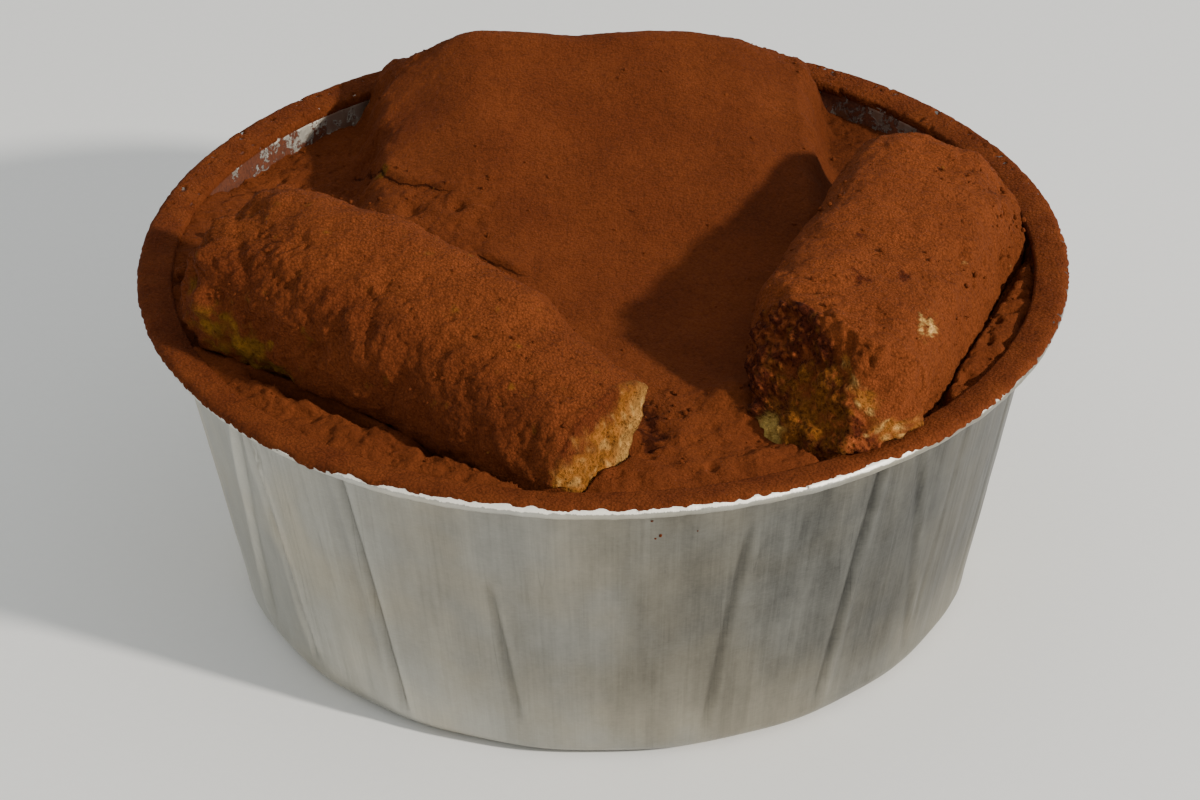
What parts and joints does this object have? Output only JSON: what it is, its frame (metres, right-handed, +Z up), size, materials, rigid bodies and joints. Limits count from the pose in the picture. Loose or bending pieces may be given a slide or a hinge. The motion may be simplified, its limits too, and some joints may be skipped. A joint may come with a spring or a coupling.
{
  "type": "tiramisu in a foil cup",
  "caption": "Round foil cup filled level with cocoa-dusted cream, with a sloping mound at the back and broken sponge biscuits lying on top.",
  "frame": {"origin": "centre of the cup's flat bottom, on the surface it stands on", "axes": "+Z up along the cup's axis, the mound's ridge towards +Y, the long biscuit on the -X side and the other on the +X side"},
  "size_m": [0.112, 0.112, 0.0566],
  "materials": {
    "foil": "satin rolled foil with fine upright streaks and creases",
    "cocoa_cream": "matt cocoa powder over set cream",
    "cocoa_biscuit": "matt cocoa powder over a soaked sponge biscuit, golden porous crumb where it is broken"
  },
  "bodies": {
    "root": {"foil_cup": "foil", "cream_filling": "cocoa_cream", "biscuit_left": "cocoa_biscuit", "biscuit_right": "cocoa_biscuit"}
  },
  "joints": []
}
